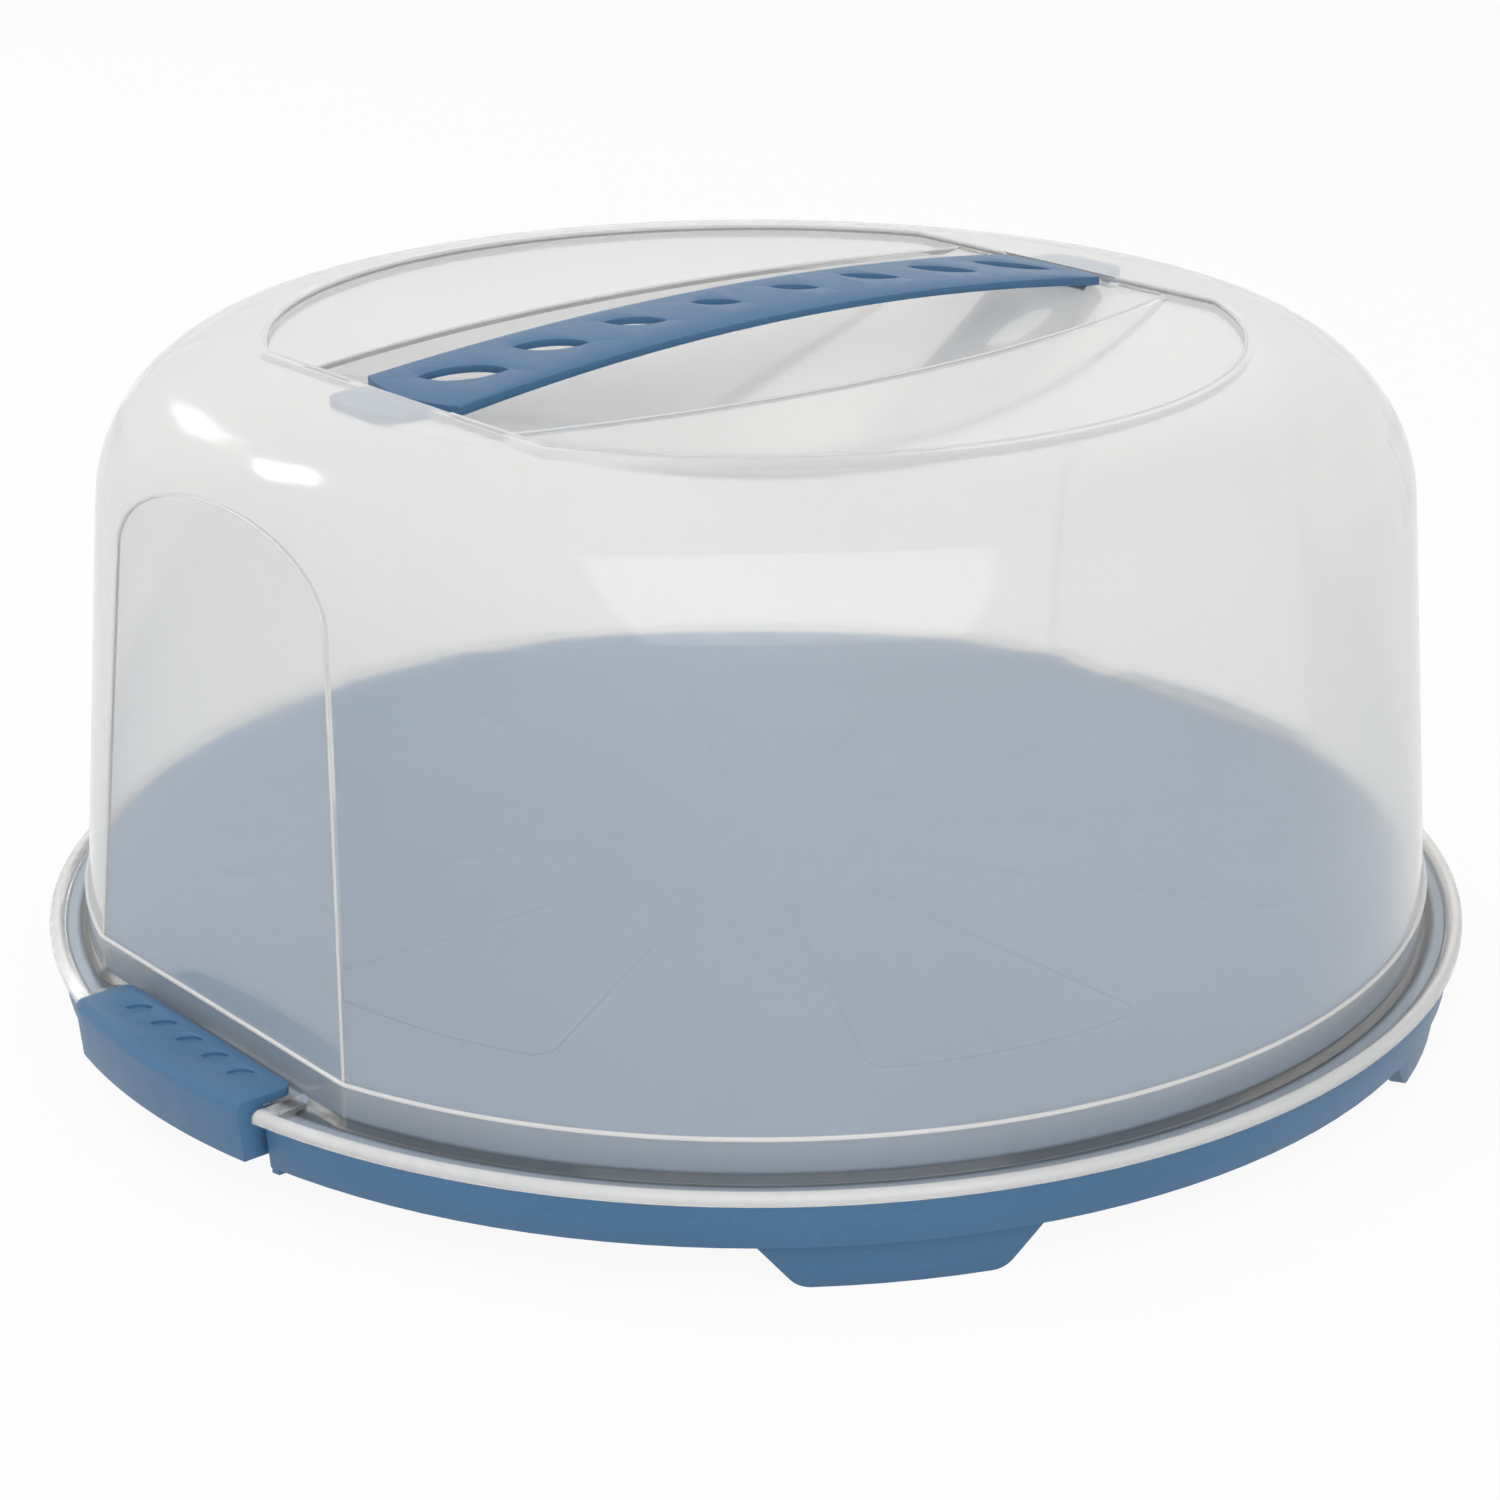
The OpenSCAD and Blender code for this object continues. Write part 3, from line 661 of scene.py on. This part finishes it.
    def build(self, finishes: Finishes, bead: SweptBead) -> None:
        """Dress the dome and add its lips.

        Args:
            finishes: The carrier's finishes.
            bead: The bead sweeper.
        """
        shell = joined("hood_shell", self.nodes)
        finish(shell, finishes.hood, self.sharp)
        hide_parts(*self.nodes)
        settle(shell, Body.HOOD)
        lines = (("hood_flat_edges", [(self.arch(side), False) for side in (1, -1)], self.flat_lip_r),
                 ("hood_trough_lips", [(path, False) for path in self.trough_lips()],
                  self.trough_lip_r),
                 ("hood_panel_lips", [(path, False) for path in self.panel_lips()],
                  self.panel_lip_r),
                 ("hood_ledge_lip", [(self.ledge_line(), True)], self.ledge_lip_r))
        for name, paths, radius in lines:
            settle(bead.along(name, paths, radius * MM, finishes.lip), Body.HOOD)
        rim = bead.along("hood_rim_bead", [(path, False) for path in self.rim_lines()],
                         (self.bead_r + self.rim_lip_proud) * MM, finishes.lip, self.rim_lip_sides)
        settle(rim, Body.HOOD)


@dataclass
class Mouldings:
    """The opaque pieces: tray, carry handle, clips and pins.

    Attributes:
        softened: Blue nodes shown with rounded edges, each with its body and edge radius in mm.
        plain: Blue nodes shown as they are packed.
        pins: Nodes of the hinge pins.
        sharp: Angle from which an edge stays crisp, degrees.
    """

    softened: tuple[tuple[str, Body, float], ...] = (
        ("tray_skirt", Body.BASE, 0.35), ("carry_handle", Body.HOOD, 0.45),
        ("clip_left", Body.CLIP_LEFT, 0.35), ("clip_right", Body.CLIP_RIGHT, 0.35))
    plain: tuple[str, ...] = ("tray_plate",)
    pins: tuple[str, ...] = ("hinge_pin_left", "hinge_pin_right")
    sharp: float = 32.0

    def build(self, finishes: Finishes) -> None:
        """Give each piece its finish, and those with open edges a small round.

        Args:
            finishes: The carrier's finishes.
        """
        for name, body, radius in self.softened:
            piece = softened(name, radius * MM)
            finish(piece, finishes.blue, self.sharp)
            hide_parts(name)
            settle(piece, body)
        for name in self.plain:
            dress(name, finishes.blue)
        for name in self.pins:
            dress(name, finishes.pin)


def copy_of(node: str, flat: float = 0.0) -> bpy.types.Object:
    """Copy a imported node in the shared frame, with its split corners merged.

    Args:
        node: Name of the node.
        flat: Faces that meet at less than this angle, in degrees, are made one; 0 keeps them all.

    Returns:
        The copy, at the origin and in no collection.
    """
    packed = frame["nodes"][node]
    work = bmesh.new()
    work.from_mesh(packed.data)
    work.transform(packed.matrix_world)
    bmesh.ops.remove_doubles(work, verts=work.verts, dist=WELD)
    bmesh.ops.dissolve_degenerate(work, edges=work.edges, dist=WELD)
    if flat > 0.0:
        bmesh.ops.dissolve_limit(work, angle_limit=math.radians(flat), verts=work.verts,
                                 edges=work.edges, delimit=set())
    mesh = bpy.data.meshes.new(node + "_copy")
    work.to_mesh(mesh)
    work.free()
    return bpy.data.objects.new(node + "_copy", mesh)


def evaluated(name: str, source: bpy.types.Object) -> bpy.types.Object:
    """Turn an object with live modifiers into a plain one, and remove the first.

    Args:
        name: Name of the new piece.
        source: The object with modifiers.

    Returns:
        The plain object, in the scene.
    """
    bpy.context.view_layer.update()
    graph = bpy.context.evaluated_depsgraph_get()
    mesh = bpy.data.meshes.new_from_object(source.evaluated_get(graph))
    mesh.name = name
    piece = bpy.data.objects.new(name, mesh)
    bpy.context.scene.collection.objects.link(piece)
    bpy.data.objects.remove(source)
    return piece


def joined(name: str, nodes: tuple[str, ...]) -> bpy.types.Object:
    """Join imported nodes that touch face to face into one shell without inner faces.

    Args:
        name: Name of the new piece.
        nodes: Names of the nodes, the largest first.

    Returns:
        The new piece as a plain mesh.
    """
    scene = bpy.context.scene.collection
    whole = copy_of(nodes[0])
    scene.objects.link(whole)
    others = bpy.data.collections.new(name + "_others")
    scene.children.link(others)
    for node in nodes[1:]:
        others.objects.link(copy_of(node))
    union = whole.modifiers.new("Join", "BOOLEAN")
    union.operation, union.solver = "UNION", "EXACT"
    union.operand_type, union.collection = "COLLECTION", others
    piece = evaluated(name, whole)
    for other in list(others.objects):
        bpy.data.objects.remove(other)
    bpy.data.collections.remove(others)
    return piece


def softened(node: str, radius: float) -> bpy.types.Object:
    """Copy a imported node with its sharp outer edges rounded.

    Args:
        node: Name of the node.
        radius: Radius of the edges, in metres.

    Returns:
        The new piece as a plain mesh.
    """
    source = copy_of(node, FLAT_ANGLE)
    bpy.context.scene.collection.objects.link(source)
    bevel = source.modifiers.new("Edges", "BEVEL")
    bevel.width, bevel.segments = radius, 2
    bevel.limit_method, bevel.angle_limit = "ANGLE", math.radians(BEVEL_ANGLE)
    bevel.use_clamp_overlap = True
    return evaluated(node + "_shell", source)


def finish(piece: bpy.types.Object, material: bpy.types.Material, sharp: float) -> None:
    """Give a new piece its material and smooth faces that break at its edges.

    Args:
        piece: The piece.
        material: Its material.
        sharp: Angle from which an edge stays crisp, in degrees.
    """
    mesh = piece.data
    for name in ("custom_normal", "sharp_edge", "sharp_face"):
        old = mesh.attributes.get(name)
        if old is not None:
            mesh.attributes.remove(old)
    mesh.materials.clear()
    mesh.materials.append(material)
    mesh.polygons.foreach_set("material_index", [0] * len(mesh.polygons))
    mesh.shade_smooth()
    mesh.set_sharp_from_angle(angle=math.radians(sharp))
    mesh.update()


def dress(node: str, material: bpy.types.Material) -> None:
    """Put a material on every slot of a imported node.

    Args:
        node: Name of the node.
        material: The material.
    """
    packed = frame["nodes"][node]
    for slot in packed.material_slots:
        slot.material = material
    LOG.info("%s: %s", node, material.name)


def settle(piece: bpy.types.Object, body: Body) -> None:
    """Make a piece ride on a body.

    Args:
        piece: The new piece.
        body: The body that it moves with.
    """
    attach(piece, body.value)
    LOG.info("%s: rides on %s", piece.name, body.value)


@dataclass
class Studio:
    """Pale floor, soft lamps and the camera.

    Attributes:
        axis_distance: Distance of the camera from the carrier's axis, mm.
        camera_z: Height of the camera, mm.
        turn: Turn of the carrier's X axis as the camera sees it, degrees.
        pitch: How far the camera looks down, degrees.
        focal: Focal length in pixels of a 1500 pixel frame.
        centre_x: Column of the carrier's axis in that frame.
        frame_px: Side of that frame, in pixels.
        light: Level of the world for everything but what the camera sees behind the object.
        floor_glow: Share of plain white that the camera sees in the floor; the rest keeps shadows.
        floor_half: Half length of the floor's side, in metres.
        aim_z: Height on the carrier's axis that the lamps point at, in metres.
        lamps: Each lamp's name, place in metres, side, power in watts and whether gloss shows it.
    """

    axis_distance: float = 744.86
    camera_z: float = 336.7
    turn: float = 40.4
    pitch: float = 20.81
    focal: float = 3241.8
    centre_x: float = 756.0
    frame_px: float = 1500.0
    light: float = 0.47
    floor_glow: float = 0.93
    floor_half: float = 12.0
    aim_z: float = 0.07
    lamps: list[tuple[str, tuple[float, float, float], float, float, bool]] = field(
        default_factory=lambda: [
            ("Key", (-0.95, -1.5, 1.6), 2.4, 28.0, True),
            ("Rear", (-0.5, 1.7, 1.6), 0.30, 13.0, False),
        ])

    def build(self) -> None:
        """Make the floor, world, lamps and camera."""
        self._world()
        self._floor()
        for name, place, size, power, glints in self.lamps:
            self._lamp(name, place, size, power).visible_glossy = glints
        self._camera()
        bpy.context.scene.view_settings.view_transform = "Standard"

    @staticmethod
    def _seen(graph: NodeGraph) -> bpy.types.NodeSocket:
        """1 for rays that show the background, straight or through gloss and clear plastic."""
        path = graph.add("ShaderNodeLightPath")
        direct = graph.math("MAXIMUM", path.outputs["Is Camera Ray"], path.outputs["Is Glossy Ray"])
        direct = graph.math("MAXIMUM", direct, path.outputs["Is Transmission Ray"])
        undiffused = graph.math("LESS_THAN", path.outputs["Diffuse Depth"], 0.5)
        return graph.math("MULTIPLY", direct, undiffused)

    def _world(self) -> None:
        """A white surround that lights the carrier at a plain level."""
        world = bpy.data.worlds.new("Studio")
        bpy.context.scene.world = world
        world.use_nodes = True
        graph = NodeGraph(world.node_tree)
        back = world.node_tree.nodes["Background"]
        back.inputs["Color"].default_value = (1, 1, 1, 1)
        graph.link(graph.span(self._seen(graph), self.light, 1.0), back.inputs["Strength"])

    def _floor(self) -> None:
        """A large pale floor that keeps a soft shadow."""
        mesh = bpy.data.meshes.new("floor")
        r = self.floor_half
        mesh.from_pydata([(-r, -r, 0), (r, -r, 0), (r, r, 0), (-r, r, 0)], [], [(0, 1, 2, 3)])
        floor = bpy.data.objects.new("floor", mesh)
        bpy.context.scene.collection.objects.link(floor)
        material = bpy.data.materials.new("Pale floor")
        material.use_nodes = True
        graph = NodeGraph(material.node_tree)
        shader = material.node_tree.nodes["Principled BSDF"]
        shader.inputs["Base Color"].default_value = (0.9, 0.9, 0.9, 1)
        shader.inputs["Roughness"].default_value = 0.9
        shader.inputs["Specular IOR Level"].default_value = 0.1
        glow = graph.add("ShaderNodeEmission")
        mix = graph.add("ShaderNodeMixShader")
        graph.link(graph.math("MULTIPLY", self._seen(graph), self.floor_glow), mix.inputs[0])
        graph.link(shader.outputs[0], mix.inputs[1])
        graph.link(glow.outputs[0], mix.inputs[2])
        graph.link(mix.outputs[0], material.node_tree.nodes["Material Output"].inputs["Surface"])
        mesh.materials.append(material)

    def _lamp(self, name: str, place: tuple[float, float, float], size: float,
              power: float) -> bpy.types.Object:
        """Add a square lamp aimed at the carrier.

        Args:
            name: Name of the lamp.
            place: Its position, in metres.
            size: Its side, in metres.
            power: Its power, in watts.

        Returns:
            The lamp.
        """
        data = bpy.data.lights.new(name, "AREA")
        data.size = size
        data.energy = power
        lamp = bpy.data.objects.new(name, data)
        lamp.location = place
        aim = Vector((0, 0, self.aim_z)) - Vector(place)
        lamp.rotation_euler = aim.to_track_quat("-Z", "Y").to_euler()
        bpy.context.scene.collection.objects.link(lamp)
        return lamp

    def _camera(self) -> None:
        """Put the camera where the photograph was taken from."""
        turn, pitch = math.radians(self.turn), math.radians(self.pitch)
        data = bpy.data.cameras.new("Camera")
        data.sensor_width = 36.0
        data.lens = self.focal / self.frame_px * data.sensor_width
        data.shift_x = (self.frame_px / 2 - self.centre_x) / self.frame_px
        camera = bpy.data.objects.new("Camera", data)
        camera.location = mm(-self.axis_distance * math.sin(turn), -self.axis_distance * math.cos(turn),
                             self.camera_z)
        look = Vector((math.sin(turn) * math.cos(pitch), math.cos(turn) * math.cos(pitch),
                       -math.sin(pitch)))
        camera.rotation_euler = look.to_track_quat("-Z", "Y").to_euler()
        bpy.context.scene.collection.objects.link(camera)
        bpy.context.scene.camera = camera


def main() -> None:
    """Build the carrier and its studio in order."""
    logging.basicConfig(level=logging.INFO, format="%(message)s")
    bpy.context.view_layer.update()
    finishes = Finishes.build()
    bead = SweptBead()
    Hood().build(finishes, bead)
    Mouldings().build(finishes)
    Studio().build()


if __name__ == "__main__":
    main()
